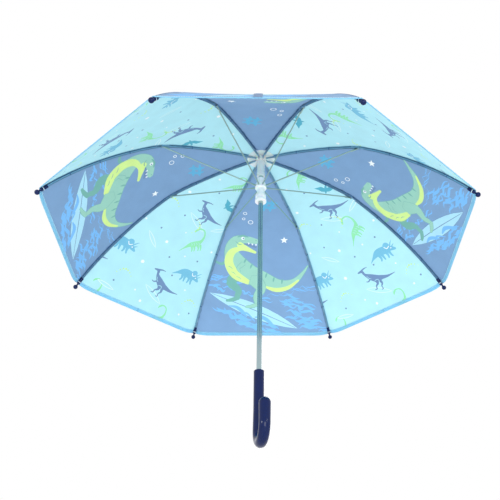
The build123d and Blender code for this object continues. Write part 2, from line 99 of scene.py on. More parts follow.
def in_rib_plane(point):
    """A point of the frame as (distance from the shaft, height)."""
    return np.array([math.hypot(point[0], point[1]), point[2]])


CROWN_HINGE = in_rib_plane(joints["canopy_fold"]["pos_m"])
ELBOW = in_rib_plane(joints["rib_flex_1"]["pos_m"])
TIP = np.array([(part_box("tip_1")[1].x - TIP_BALL) / math.cos(HALF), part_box("tip_1")[0].z + TIP_BALL])


ARC_POINTS = 120


def rib_arc(start, end, turn, lift, cut_start, cut_end):
    """Points of the arc that bends down by turn from start to end, lifted off it, without its cut ends."""
    chord = end - start
    fall = math.atan2(-chord[1], chord[0])
    radius = np.linalg.norm(chord) / (2 * math.sin(turn / 2))
    first, last = fall - turn / 2, fall + turn / 2
    centre = start - radius * np.array([math.sin(first), math.cos(first)])
    slopes = np.linspace(first + cut_start / radius, last - cut_end / radius, ARC_POINTS)
    return centre + (radius + lift) * np.stack([np.sin(slopes), np.cos(slopes)], 1)


def evenly(line, spacing):
    """The polyline with points a spacing apart, and how far along it they are."""
    gone = np.concatenate([[0], np.cumsum(np.linalg.norm(np.diff(line, axis=0), axis=1))])
    at = np.linspace(0, gone[-1], int(gone[-1] / spacing) + 1)
    return np.stack([np.interp(at, gone, line[:, i]) for i in range(line.shape[1])], 1), at


def smoothed(line, reach):
    """Running mean over reach points each way. The two ends stay where they are."""
    before = 2 * line[0] - line[reach:0:-1]
    after = 2 * line[-1] - line[-2:-reach - 2:-1]
    longer = np.vstack([before, line, after])
    window = np.ones(2 * reach + 1) / (2 * reach + 1)
    return np.stack([np.convolve(longer[:, i], window, "valid") for i in range(line.shape[1])], 1)


inner_arc = rib_arc(CROWN_HINGE, ELBOW, INNER_RIB_TURN, CLOTH_LIFT, PAST_HINGE, PAST_ELBOW)
outer_arc = rib_arc(ELBOW, TIP, OUTER_RIB_TURN, CLOTH_LIFT, PAST_ELBOW, SHORT_OF_TIP - HEM_SWELL)
rough_line, _ = evenly(np.vstack([[APEX, BROW], inner_arc, outer_arc]), MM)
RIB_LINE, ALONG = evenly(smoothed(rough_line, EASING), MM)
REACH = ALONG[-1] - HEM_SWELL       # apex to hem, along a seam
RIB_SLOPE = np.arctan2(-np.gradient(RIB_LINE[:, 1]), np.gradient(RIB_LINE[:, 0]))


def radius_at(s):
    return np.interp(s, ALONG, RIB_LINE[:, 0])


def height_at(s):
    return np.interp(s, ALONG, RIB_LINE[:, 1])


def half_width(s):
    return radius_at(s) * math.sin(HALF)


def hem_at(u):
    """How far along a rib the hem is, at a share u of the way from a panel's middle to its seam."""
    return REACH + HEM_SWELL * (1 - np.abs(u) ** HEM_SQUARENESS)


def folds(u, s):
    """Small stretch folds that fan out from the seams between the points where they are tacked."""
    near = np.abs(u) ** FOLDS_NEAR_SEAM
    return sum(height * near * np.sin(s / spacing + lean * u) for height, spacing, lean in FOLDS)


def cloth(x, s, lift=0.0):
    """Places flat points (x, s) on a panel whose middle line is in the XZ plane."""
    x, s = np.asarray(x, float), np.asarray(s, float)
    u = np.clip(x / half_width(s), -1, 1)
    slope = np.arctan(np.tan(np.interp(s, ALONG, RIB_SLOPE)) / math.cos(HALF))
    from_apex = np.clip(s / TAUT_APEX, 0, 1)
    from_hem = np.clip((REACH - s) / TAUT_HEM, 0, 1)
    ending = np.clip((1 - u * u) * FOLDS_END, 0, 1)
    raise_by = lift - from_apex * (SAG * from_hem * (1 - u * u) + folds(u, s) * ending)
    out = radius_at(s) * math.cos(HALF) + raise_by * np.sin(slope)
    return np.stack([out, -x, height_at(s) + raise_by * np.cos(slope)], -1)


def turned(points, azimuth):
    """Points turned about the shaft."""
    c, s = math.cos(azimuth), math.sin(azimuth)
    return points @ np.array([[c, s, 0], [-s, c, 0], [0, 0, 1]])


def rib_azimuth(k):
    return HALF + STEP * (k - 1)


def panel_azimuth(k):
    return STEP * k


# ---- where the cloth folds at the elbows --------------------------------------------------------
def elbow_line(u):
    """How far along the cloth crosses the plane through an elbow square to its rib, at a share u."""
    tilt = math.atan2(CROWN_HINGE[1] - TIP[1], TIP[0] - CROWN_HINGE[0])
    low, high = (np.full_like(u, limit) for limit in ELBOW_RANGE)
    for _ in range(ELBOW_HALVINGS):
        middle = (low + high) / 2
        x = u * half_width(middle)
        p = turned(cloth(x, middle), HALF)            # the rib is in the XZ plane, on the x > 0 side
        ahead = (p[:, 0] - ELBOW[0]) * math.cos(tilt) - (p[:, 2] - ELBOW[1]) * math.sin(tilt) > 0
        high, low = np.where(ahead, middle, high), np.where(ahead, low, middle)
    return middle


# ---- pieces -------------------------------------------------------------------------------------
def make_piece(name, points, faces, material):
    """Smooth mesh object in the scene."""
    mesh = bpy.data.meshes.new(name)
    mesh.from_pydata([tuple(p) for p in points], [], faces)
    mesh.polygons.foreach_set("use_smooth", [True] * len(mesh.polygons))
    mesh.materials.append(material)
    mesh.update()
    piece = bpy.data.objects.new(name, mesh)
    bpy.context.scene.collection.objects.link(piece)
    return piece


def add_attribute(mesh, name, kind, domain, values):
    """Vectors or colours that a material reads from the mesh."""
    attribute = mesh.attributes.new(name, kind, domain)
    field = "color" if kind == "FLOAT_COLOR" else "vector"
    attribute.data.foreach_set(field, np.asarray(values, np.float32).ravel())


def fold_away(piece, rib, side, band):
    """Rides the piece on a rib: an outer band on the rib's end, other bands on the rib itself."""
    outer = band == "outer"
    azimuth = rib_azimuth(rib)
    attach(piece, f"rib_end_{rib}" if outer else f"rib_{rib}")
    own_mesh(piece)


# ---- materials ----------------------------------------------------------------------------------
class Look:
    """A material under construction."""

    def __init__(self, name):
        self.material = bpy.data.materials.new(name)
        self.material.use_nodes = True
        self.tree = self.material.node_tree
        self.tree.nodes.clear()
        self.output = self.node("OutputMaterial")

    def node(self, kind, **settings):
        made = self.tree.nodes.new("ShaderNode" + kind)
        for key, value in settings.items():
            setattr(made, key, value)
        return made

    def link(self, source, target):
        self.tree.links.new(source, target)

    def shader(self, kind, **values):
        made = self.node(kind)
        for key, value in values.items():
            made.inputs[key.replace("_", " ")].default_value = value
        return made

    def noise(self, vector, scale, detail=2.0):
        made = self.node("TexNoise")
        made.inputs["Scale"].default_value = scale
        made.inputs["Detail"].default_value = detail
        self.link(vector, made.inputs["Vector"])
        return made.outputs["Fac"]

    def remap(self, value, low, high):
        made = self.node("MapRange")
        made.inputs["To Min"].default_value = low
        made.inputs["To Max"].default_value = high
        self.link(value, made.inputs["Value"])
        return made.outputs["Result"]

    def calculate(self, operation, first, second):
        made = self.node("Math", operation=operation)
        for socket, value in zip(made.inputs, (first, second)):
            if isinstance(value, (int, float)):
                socket.default_value = value
            else:
                self.link(value, socket)
        return made.outputs["Value"]

    def shade(self, colour, factor):
        """Colour multiplied by a grey factor."""
        made = self.node("VectorMath", operation="SCALE")
        if isinstance(colour, tuple):
            made.inputs[0].default_value = colour[:3]
        else:
            self.link(colour, made.inputs[0])
        self.link(factor, made.inputs["Scale"])
        return made.outputs["Vector"]

    def bump(self, height, strength, distance, shader):
        made = self.node("Bump")
        made.inputs["Strength"].default_value = strength
        made.inputs["Distance"].default_value = distance
        self.link(height, made.inputs["Height"])
        self.link(made.outputs["Normal"], shader.inputs["Normal"])


def linear(red, green, blue):
    """A display colour, 0 to 255, as linear light."""
    parts = [c / 255 for c in (red, green, blue)]
    return tuple(c / 12.92 if c <= 0.04045 else ((c + 0.055) / 1.055) ** 2.4 for c in parts) + (1.0,)


THREADS = 2 * math.pi / (0.5 * MM)      # phase per metre of a weave that repeats every 0.5 mm


def weave(look, vector):
    """Height of a plain weave, 0 to 1, from flat cloth coordinates in metres."""
    split = look.node("SeparateXYZ")
    look.link(vector, split.inputs["Vector"])
    waves = []
    for axis in ("X", "Y"):
        phase = look.calculate("MULTIPLY", split.outputs[axis], THREADS)
        waves.append(look.calculate("SINE", phase, 0.0))
    return look.remap(look.calculate("MULTIPLY", *waves), 0.0, 1.0)


def cloth_look(name, colour=None, see_through=0.5):
    """Thin woven cloth. Without a colour it takes the print's from the mesh."""
    look = Look(name)
    flat = look.node("Attribute", attribute_name="flat").outputs["Vector"]
    ink = look.node("Attribute", attribute_name="ink").outputs["Color"] if colour is None else colour
    threads = weave(look, flat)
    blotch = look.remap(look.noise(flat, 35.0), 0.93, 1.07)
    grain = look.remap(threads, 0.96, 1.04)
    shown = look.shade(ink, look.calculate("MULTIPLY", blotch, grain))
    front = look.shader("BsdfPrincipled", Roughness=0.62, Sheen_Weight=0.25, Sheen_Roughness=0.4,
                        Specular_IOR_Level=0.25)
    back = look.node("BsdfTranslucent")
    for shader, socket in ((front, "Base Color"), (back, "Color")):
        look.link(shown, shader.inputs[socket])
    look.bump(threads, 0.25, 0.1 * MM, front)
    mix = look.node("MixShader")
    mix.inputs["Fac"].default_value = see_through
    look.link(front.outputs["BSDF"], mix.inputs[1])
    look.link(back.outputs["BSDF"], mix.inputs[2])
    look.link(mix.outputs["Shader"], look.output.inputs["Surface"])
    return look.material


GRAIN_DEPTH = 0.05 * MM


def solid_look(name, colour, roughness, metallic=0.0, spread=0.06, fine=900.0, relief=0.15,
               stretch=(1.0, 1.0, 1.0), **more):
    """Metal or plastic with a fine grain in its roughness and surface."""
    look = Look(name)
    on_body = look.node("TexCoord").outputs["Object"]
    grain_map = look.node("Mapping")
    grain_map.inputs["Scale"].default_value = stretch
    look.link(on_body, grain_map.inputs["Vector"])
    grain = look.noise(grain_map.outputs["Vector"], fine, 3.0)
    clouds = look.noise(on_body, 60.0)
    body = look.shader("BsdfPrincipled", Metallic=metallic, **more)
    look.link(look.shade(colour, look.remap(clouds, 0.9, 1.1)), body.inputs["Base Color"])
    look.link(look.remap(grain, roughness - spread, roughness + spread), body.inputs["Roughness"])
    look.bump(grain, relief, GRAIN_DEPTH, body)
    look.link(body.outputs["BSDF"], look.output.inputs["Surface"])
    return look.material


NAVY = linear(124, 161, 202)
AQUA = linear(176, 230, 243)
HEM_BLUE = linear(150, 222, 255)
# The seam colours are darker than the panel cloth they are cut from: painted shade along the ribs and the
# double cloth, on real seam geometry.
SEAM_NAVY_PAINTED_SHADE, SEAM_AQUA_PAINTED_SHADE = linear(78, 116, 162), linear(134, 200, 224)

panel_cloth = cloth_look("printed_cloth")
hem_cloth = cloth_look("hem_binding", HEM_BLUE, see_through=0.3)
seam_navy_painted_shade = cloth_look("seam_allowance_navy_painted_shade", SEAM_NAVY_PAINTED_SHADE, see_through=0.2)
seam_aqua_painted_shade = cloth_look("seam_allowance_aqua_painted_shade", SEAM_AQUA_PAINTED_SHADE, see_through=0.4)
strap_cloth = cloth_look("strap_cloth", NAVY, see_through=0.4)

thread = solid_look("thread", linear(206, 226, 236), 0.7, fine=3000.0, relief=0.3)
dark_thread = solid_look("dark_thread", SEAM_NAVY_PAINTED_SHADE, 0.7, fine=3000.0, relief=0.3)
# The rib steel's base colour is tinted blue: a painted reflection of the blue cloth around the ribs.
rib_steel_painted_reflection = solid_look("zinc_steel_painted_reflection", linear(130, 168, 196), 0.42, metallic=0.7, fine=1400.0, spread=0.12)
wire_steel = solid_look("wire_steel", linear(150, 178, 172), 0.34, metallic=0.8, fine=1600.0, spread=0.1)
shaft_steel = solid_look("nickel_steel", linear(166, 186, 190), 0.16, metallic=1.0, fine=500.0,
                         stretch=(6.0, 6.0, 0.4), relief=0.06, spread=0.05)
clear_plastic = solid_look("clear_plastic", linear(247, 252, 253), 0.22, Transmission_Weight=0.2, IOR=1.35,
                           Subsurface_Weight=0.4, Subsurface_Scale=3 * MM, fine=500.0, relief=0.05)
milky_plastic = solid_look("milky_plastic", linear(250, 253, 255), 0.3, Transmission_Weight=0.04,
                           Subsurface_Weight=0.3, Subsurface_Scale=4 * MM, fine=500.0, relief=0.05)
navy_plastic = solid_look("navy_plastic", linear(12, 30, 78), 0.22, Specular_IOR_Level=0.2,
                          fine=350.0, relief=0.03)
slate_plastic = solid_look("slate_plastic", NAVY, 0.3, Specular_IOR_Level=0.3, fine=400.0, relief=0.05)
handle_plastic = solid_look("handle_plastic", linear(2, 24, 74), 0.12, Specular_IOR_Level=0.25,
                            fine=220.0, relief=0.012, spread=0.03)

LOOKS = {       # by the start of a node's name; the longest match counts
    "rib_": rib_steel_painted_reflection, "bracket_": rib_steel_painted_reflection, "stretcher_": wire_steel, "tip_": navy_plastic,
    "crown_tie": wire_steel, "crown": clear_plastic, "canopy_washer": clear_plastic,
    "runner_tie": wire_steel, "runner": milky_plastic, "shaft": shaft_steel, "catch_": wire_steel,
    "top_catch": wire_steel, "bottom_catch": wire_steel, "ferrule": navy_plastic,
    "handle": handle_plastic,
}
for name, node in frame["nodes"].items():
    match = max((start for start in LOOKS if name.startswith(start)), key=len, default=None)
    if match:
        node.data.materials.clear()
        node.data.materials.append(LOOKS[match])


# ---- prints: outlines in millimetres, laid out flat ---------------------------------------------
def curve(nodes, steps=4):
    """Smooth curve through the nodes."""
    p = np.array(nodes, float)
    p = np.vstack([2 * p[:1] - p[1:2], p, 2 * p[-1:] - p[-2:-1]])
    t = np.arange(steps)[:, None] / steps
    parts = [0.5 * (2 * b + (c - a) * t + (2 * a - 5 * b + 4 * c - d) * t ** 2
                    + (3 * b - a - 3 * c + d) * t ** 3) for a, b, c, d in zip(p, p[1:], p[2:], p[3:])]
    return np.vstack([*parts, p[-2:-1]])


LIMB_END = 0.7      # how far a limb's blunt ends reach, in its half widths


def limb(*nodes):
    """Tapered stroke through (x, s, half width) nodes."""
    line = curve(nodes)
    way = np.gradient(line[:, :2], axis=0)
    way /= np.linalg.norm(way, axis=1)[:, None]
    off = np.stack([-way[:, 1], way[:, 0]], 1) * line[:, 2:]
    start = line[0, :2] - LIMB_END * way[0] * line[0, 2]
    end = line[-1, :2] + LIMB_END * way[-1] * line[-1, 2]
    return np.vstack([start, line[:, :2] + off, end, (line[:, :2] - off)[::-1]])


def disc(x, s, radius, corners=12):
    """Round spot."""
    angles = np.arange(corners) * 2 * math.pi / corners
    return np.stack([x + radius * np.cos(angles), s + radius * np.sin(angles)], 1)


def star(x, s, radius, points=5, waist=0.45):
    """Star, or nearly a spot where its waist is wide."""
    angles = np.arange(2 * points) * math.pi / points - math.pi / 2
    radii = np.where(np.arange(2 * points) % 2 == 0, radius, radius * waist)
    return np.stack([x + radii * np.cos(angles), s + radii * np.sin(angles)], 1)


def lens(x, s, long, wide, turn=0.0):
    """Pointed oval, as a surfboard."""
    t = np.linspace(0, 1, 9)[:-1]
    bow = np.sin(math.pi * t) ** 0.8
    top, low = np.stack([t - 0.5, -bow / 2], 1), np.stack([0.5 - t, bow / 2], 1)
    return spun(np.vstack([top, low]) * (long, wide), turn) + (x, s)


def spun(outline, turn):
    """Outline turned about its own origin, in degrees."""
    c, n = math.cos(math.radians(turn)), math.sin(math.radians(turn))
    return outline @ np.array([[c, n], [-n, c]])


OUTLINE = 0.7       # width of the darker outline of a print


def inked(ink, *nodes):
    """A limb with a thin darker outline."""
    wider = [(x, s, half + OUTLINE) for x, s, half in nodes]
    return [("moss", limb(*wider)), (ink, limb(*nodes))]


def place(motif, x, s, turn=0.0, size=1.0):
    """A motif turned, scaled and moved to its spot."""
    return [(ink, spun(outline * size, turn) + (x, s)) for ink, outline in motif]


def ring(x, s, radius, thick):
    """Bubble."""
    return [("white", disc(x, s, radius)), ("base", disc(x, s, radius - thick, 10))]


def crested():
    """Two-legged plant eater with a long head crest, facing left, over a surfboard."""
    board = [("pale", lens(8, 25, 54, 11)), ("base", lens(8, 25, 50, 8.4))]
    body = [limb((-34, -7, 1.2), (-26, -11, 2.8), (-20, -5, 2.6), (-9, -1, 6), (4, 1, 7.2),
                 (15, -2, 4.4), (28, -6, 2.2), (42, -14, 0.4)),
            limb((-27, -12, 2), (-21, -18, 1.2), (-15, -21, 0.5)),
            limb((2, 4, 4.4), (6, 11, 2.5), (3, 17, 1.4), (4, 23, 1.1), (0, 25, 0.7)),
            limb((9, 3, 3.6), (15, 10, 2), (14, 16, 1.1), (17, 21, 0.9), (14, 23, 0.6)),
            limb((-9, 3, 1.8), (-13, 9, 1.2), (-18, 10, 0.6))]
    marks = [limb((0, 6, 0.5), (6, 3, 0.6), (10, 7, 0.4)),
             limb((-16, -2, 0.4), (-12, 2, 0.5), (-7, 3, 0.4))]
    return board + [("slate", outline) for outline in body] + [("base", outline) for outline in marks]


def three_horned():
    """Four-legged horned plant eater, facing right."""
    legs = [limb((x, 3, 3.2), (x + 1, 10, 2.0), (x + lean, 15, 1.5)) for x, lean in
            ((-9, -1), (-3, 2), (7, 0), (13, 3))]
    horns = [limb((19, -5, 1.6), (24, -11, 0.9), (28, -15, 0.3)), limb((23, -3, 1.4), (29, -7, 0.3))]
    body = limb((-32, 10, 0.4), (-22, 3, 2.6), (-10, -3, 7), (3, -3, 8), (12, -3, 6), (22, 1, 4),
                (28, 4, 1.8))
    frill, eye = disc(13, -9, 6.5), disc(20, -1, 1.3, 8)
    cheek = limb((8, -8, 0.7), (12, -3, 0.8), (18, -6, 0.7))
    coloured = [("sky", outline) for outline in (body, frill, *legs, *horns)]
    return coloured + [("white", cheek), ("white", eye)]


def long_necked():
    """Four-legged, long-necked plant eater, facing right."""
    legs = [limb((x, 3, 2.4), (x + 1, 10, 1.5), (x, 15, 1.1)) for x in (-8, -3, 5, 10)]
    body = limb((-34, 11, 0.4), (-22, 5, 1.6), (-10, 0, 4.6), (2, -1, 5.8), (12, -6, 3), (18, -17, 1.6),
                (17, -28, 1.4), (9, -33, 1.5), (2, -31, 2.2), (-2, -27, 1.0))
    marks = [limb((x, -3, 0.3), (x + 2, 0, 0.5), (x + 1, 3, 0.3)) for x in (-9, -4, 1, 6)]
    return [("leaf", outline) for outline in (body, *legs)] + [("base", outline) for outline in marks]


def winged():
    """Gliding reptile seen from below."""
    wings = [np.array([(0, -2), (9 * w, -9), (24 * w, -5), (15 * w, -1), (9 * w, 4), (3 * w, 5)])
             for w in (1, -1)]
    body = limb((0, -12, 1.0), (0, -6, 2.4), (0, 3, 2.6), (0, 10, 0.6))
    crest = limb((0, -9, 1.2), (3, -15, 0.4))
    return [("teal", outline) for outline in (*wings, body, crest)]


def dotted_arc(dots=7):
    """Row of dots along an arch, largest in the middle."""
    made = []
    for i in range(dots):
        rise = 16 * math.sin(math.radians(20 + 23 * i))
        made.append(("lime", disc(-15 + 5 * i, 9 - rise, 1.1 + 0.3 * min(i, dots - 1 - i), 7)))
    return made


def sprig():
    """Crossed weed strands."""
    upright = [limb((x - 1, -9, 1.2), (x + 1, -2, 2.1), (x - 1, 5, 2.1), (x, 10, 1.0)) for x in (-4, 4)]
    level = [limb((-10, s + 1, 1.0), (-3, s, 2.0), (4, s, 2.0), (10, s - 1, 1.0)) for s in (-4, 4)]
    return [("weed", outline) for outline in upright + level]


# Lanes of moving water: from, to, number of strokes, spread, turn, length, half width
LANES = (
    ((-100, 286), (-52, 296), 9, 6, -4, 30, 1.5),
    ((-102, 304), (-72, 316), 6, 5, 8, 24, 2.0),
    ((-36, 318), (8, 336), 8, 6, 14, 26, 1.8),
    ((24, 322), (110, 304), 9, 7, -3, 34, 0.8),
    ((44, 336), (96, 352), 12, 7, 12, 34, 2.4),
    ((60, 362), (104, 378), 12, 7, 8, 36, 2.8),
    ((-84, 352), (-30, 380), 12, 5, 24, 34, 2.6),
    ((-34, 384), (30, 398), 10, 5, 10, 36, 2.8),
    ((84, 392), (126, 396), 6, 4, 0, 30, 2.4),
)


def water():
    """Brush strokes of moving water."""
    rng = np.random.default_rng(11)
    strokes = []
    for start, end, count, spread, turn, length, half in LANES:
        for share in np.linspace(0, 1, count):
            lane = np.array(start) * (1 - share) + np.array(end) * share
            x, s = lane + rng.normal(0, 1, 2) * (spread, spread * 0.8)
            long, wide = length * rng.uniform(0.5, 1.1), half * rng.uniform(0.5, 1.2)
            bow = rng.uniform(0.8, 3.2) * rng.choice((-1, 1))
            stroke = limb((-long / 2, bow, 0.2), (-long / 4, -bow, 0.7 * wide), (0, 0, wide),
                          (long / 4, bow, 0.8 * wide), (long / 2, -0.5 * bow, 0.2))
            strokes.append(("water", spun(stroke, turn + rng.uniform(-9, 9)) + (x, s)))
    return strokes


def surfer():
    """Made-up upright dinosaur on a board, looking back over its shoulder."""
    board = [("slate", lens(-16, 357, 193, 31.5, 23.5)), ("board", lens(-16, 357, 190, 30, 23.5)),
             ("slate", limb((-98, 321, 0.4), (-15, 356, 0.7), (66, 393, 0.4)))]
    board += [("water", limb(*nodes)) for nodes in (
        ((-66, 347, 0.8), (-50, 350, 3), (-38, 360, 3.4), (-30, 370, 1)),
        ((-44, 366, 0.6), (-32, 362, 1.8), (-22, 370, 1.4), (-14, 380, 0.5)),
        ((-14, 371, 1), (2, 372, 3.6), (16, 382, 3), (26, 394, 1)),
        ((8, 388, 0.6), (20, 386, 1.6), (34, 396, 0.6)))]
    far_leg = inked("moss", (-50, 280, 10), (-60, 298, 9), (-46, 314, 6), (-49, 327, 4.5))
    far_leg += inked("moss", (-46, 329, 4), (-58, 334, 3.4), (-70, 336, 1.6))
    near_leg = inked("green", (-7, 343, 4.2), (-20, 348, 3.4), (-32, 349, 1.6))
    near_leg += inked("green", (-14, 290, 14), (-2, 310, 10), (-11, 328, 6), (-9, 340, 5))
    body = inked("green", (-34, 208, 11), (-48, 208, 12), (-59, 225, 12), (-52, 250, 18), (-30, 276, 21),
                 (0, 290, 17), (34, 302, 11), (62, 296, 6.5), (80, 277, 3), (90, 261, 0.8))
    belly = [limb((-20, 230, 1.5), (-40, 224, 4), (-58, 232, 7), (-64, 254, 8.5), (-52, 280, 9),
                  (-26, 297, 5)),
             limb((6, 306, 2), (28, 313, 4.4), (52, 308, 4), (72, 292, 1.8))]
    snout = limb((-44, 204, 9), (-26, 204, 7.5), (-9, 208, 5.5))
    jaw = limb((-44, 214, 6), (-26, 225, 4.4), (-12, 232, 2.6))
    mouth = limb((-34, 213, 1.5), (-22, 216, 2.8), (-11, 220, 2))
    brow = limb((-46, 198, 1), (-36, 195, 2), (-26, 198, 1))
    cheek = limb((-50, 208, 0.4), (-44, 214, 1), (-38, 214, 0.4))
    far_arm = inked("moss", (-62, 246, 4), (-77, 257, 2.4), (-90, 252, 1.4))
    near_arm = inked("green", (-36, 256, 4.4), (-46, 266, 3), (-43, 274, 1.8))
    stripes = [limb((x, s, 0.5), (x + dx / 2, s + 5, 1.8), (x + dx, s + 11, 0.5)) for x, s, dx in
               ((-30, 245, -5), (-18, 256, -5), (-4, 266, -4), (10, 276, -3), (24, 285, -2), (40, 289, -1))]
    creases = [limb((x, s, 0.3), (x + 5, s + 2, 0.6), (x + 9, s + 6, 0.3)) for x, s in
               ((-66, 262), (-60, 274), (-50, 284))]
    teeth = [np.array([(x, s), (x + 4, s + 1), (x + 1.6, s + 5)]) for x, s in
             ((-27, 210), (-20, 212), (-13, 213))]
    parts = board + far_leg + far_arm + body + [("belly", outline) for outline in belly] + near_leg
    parts += [("green", snout), ("belly", jaw), ("slate", mouth)] + [("white", tooth) for tooth in teeth]
    parts += [("moss", outline) for outline in (*stripes, *creases, brow, cheek)] + near_arm
    eye, pupil, nostril = disc(-36, 201, 3.4), disc(-35, 201, 1.7, 8), disc(-11, 205, 1.1, 8)
    parts += [("white", eye), ("slate", pupil), ("moss", nostril)]
    return parts


def navy_prints():
    """Surfing dinosaur in moving water, with a star, a sprig of weed and bubbles."""
    shapes = water() + surfer() + [("white", star(43, 205, 7.5))]
    shapes += place(sprig(), 13, 119, 10, 1.5)
    for x, s, radius in ((-31, 141, 3.8), (-34, 155, 3.2), (-21, 163, 5.0)):
        shapes += ring(x, s, radius, 1.1)
    return shapes


# Where the small prints of an aqua panel lie: motif, x, s, turn in degrees, size
SCATTER = (
    (crested, 14, 171, 28, 1.0), (crested, 16, 340, 27, 1.0), (crested, -147, 334, 27, 1.0),
    (crested, 128, 226, 27, 1.0), (winged, 38, 134, 35, 0.9), (winged, -104, 262, -25, 0.7),
    (long_necked, 35, 238, -32, 1.0), (long_necked, 44, 409, -15, 0.9), (long_necked, -104, 412, -8, 0.9),
    (long_necked, 18, 82, -30, 0.8), (three_horned, 57, 302, 0, 1.0), (three_horned, -94, 300, 3, 1.0),
    (dotted_arc, -56, 183, 0, 1.0), (dotted_arc, -62, 350, -5, 1.0), (dotted_arc, 93, 353, -10, 1.0),
    (dotted_arc, 14, 205, 80, 1.0),
)
WHITE_DOTS = (      # x, s, radius
    (-20, 88, 2.6), (-44, 147, 3.6), (-20, 260, 3.4), (-41, 316, 4), (76, 238, 2.6), (-80, 238, 2.2),
    (3, 226, 1.8), (30, 270, 2.2), (70, 332, 2), (-6, 388, 3), (84, 382, 2.4), (-26, 372, 2),
)
DARK_STARS = ((1, 115), (-45, 240), (2, 285), (-20, 196), (60, 268), (-74, 372), (104, 372), (28, 316))
LOOSE_BOARDS = ((-48, 268, 40), (62, 190, -30), (-84, 386, 10))     # x, s, turn


def aqua_prints():
    """Small animals, dots, stars and surfboards."""
    shapes = []
    for motif, x, s, turn, size in SCATTER:
        shapes += place(motif(), x, s, turn, size)
    shapes += [("white", star(x, s, radius, 6, 0.75)) for x, s, radius in WHITE_DOTS]
    shapes += [("slate", star(x, s, 2.4, 5, 0.6)) for x, s in DARK_STARS]
    for x, s, turn in LOOSE_BOARDS:
        shapes += [("pale", lens(x, s, 40, 8, turn)), ("base", lens(x, s, 35, 5, turn))]
    return shapes


INKS = {
    "white": linear(238, 247, 251), "pale": linear(216, 242, 247), "slate": linear(112, 144, 186),
    "sky": linear(118, 190, 222), "teal": linear(88, 176, 202), "leaf": linear(146, 228, 176),
    "lime": linear(200, 240, 146), "green": linear(153, 207, 192), "moss": linear(118, 180, 172),
    "belly": linear(210, 242, 152), "board": linear(172, 224, 246), "water": linear(122, 188, 246),
    "weed": linear(98, 178, 220),
}

# ---- printed panels -----------------------------------------------------------------------------
GRID = 5.0 * MM                     # spacing of the points inside a panel
GRID_SPAN = 0.14                    # half the width of the grid they are picked from, wider than a panel
OFF_EDGE, OFF_MIDDLE = 0.4 * GRID, 0.3 * GRID       # how far they stay from its outline and middle line
SEAM_POINTS, ACROSS_POINTS, MIDDLE_POINTS = 60, 41, 50


def flat_panel(prints):
    """Cuts one panel flat into triangles that follow its prints. Returns points, triangles and inks."""
    side = np.linspace(0, REACH, SEAM_POINTS)
    across = np.linspace(-1, 1, ACROSS_POINTS)
    hem = np.stack([across * half_width(hem_at(across)), hem_at(across)], 1)
    edge = np.vstack([np.stack([-half_width(side), side], 1)[:-1], hem,
                      np.stack([half_width(side), side], 1)[-2::-1]])
    middle = np.stack([np.zeros(MIDDLE_POINTS), np.linspace(0, hem_at(0.0), MIDDLE_POINTS)], 1)
    fold_at = elbow_line(np.abs(across))
    fold = np.stack([across * half_width(fold_at), fold_at], 1)
    band_end = np.stack([across * half_width(CROWN_BAND), np.full_like(across, CROWN_BAND)], 1)
    xs, ss = np.meshgrid(np.arange(-GRID_SPAN, GRID_SPAN, GRID), np.arange(GRID, REACH, GRID))
    xs = xs + np.where(np.round(ss / GRID) % 2 == 0, GRID / 2, 0)
    xs, ss = xs.ravel(), ss.ravel()
    inside = (np.abs(xs) < half_width(ss) - OFF_EDGE) & (ss < hem_at(xs / half_width(ss)) - OFF_EDGE)
    inside &= np.abs(xs) > OFF_MIDDLE

    points, edges, faces = [], [], []

    def add_line(line, closed=False):
        """Adds an open line, or an outline that is turned to run anticlockwise."""
        first = len(points)
        x, s = np.asarray(line).T
        clockwise = np.dot(x, np.roll(s, -1)) < np.dot(s, np.roll(x, -1))
        points.extend(line[::-1] if closed and clockwise else line)
        ids = list(range(first, len(points)))
        if closed:
            faces.append(ids)
        else:
            edges.extend(zip(ids, ids[1:]))

    add_line(edge / MM, closed=True)
    for _, outline in prints:
        add_line(outline, closed=True)
    for line in (middle, fold, band_end):
        add_line(line / MM)
    points.extend(np.stack([xs[inside], ss[inside]], 1) / MM)
    flat = [Vector((float(x), float(s))) for x, s in points]
    made, _, triangles, _, _, sources = delaunay_2d_cdt(flat, edges, faces, 1, 1e-3)
    kept = [(t, max(src)) for t, src in zip(triangles, sources) if 0 in src]
    inks = ["base" if top == 0 else prints[top - 1][0] for _, top in kept]
    return np.array([tuple(p) for p in made]) * MM, [t for t, _ in kept], inks


def split_panel(points, triangles):
    """Sorts a panel's triangles by side (x > 0 belongs to the rib of the same number) and by band."""
    centres = np.array([points[list(t)].mean(0) for t in triangles])
    fold_at = elbow_line(np.clip(np.abs(centres[:, 0] / half_width(centres[:, 1])), 0, 1))
    up_to_elbow = np.where(centres[:, 1] > CROWN_BAND, "inner", "crown")
    return centres[:, 0] > 0, np.where(centres[:, 1] > fold_at, "outer", up_to_elbow)


def a_or_b(side):
    """A panel's half: a goes with the rib of the same number, b with the next rib."""
    return "a" if side > 0 else "b"


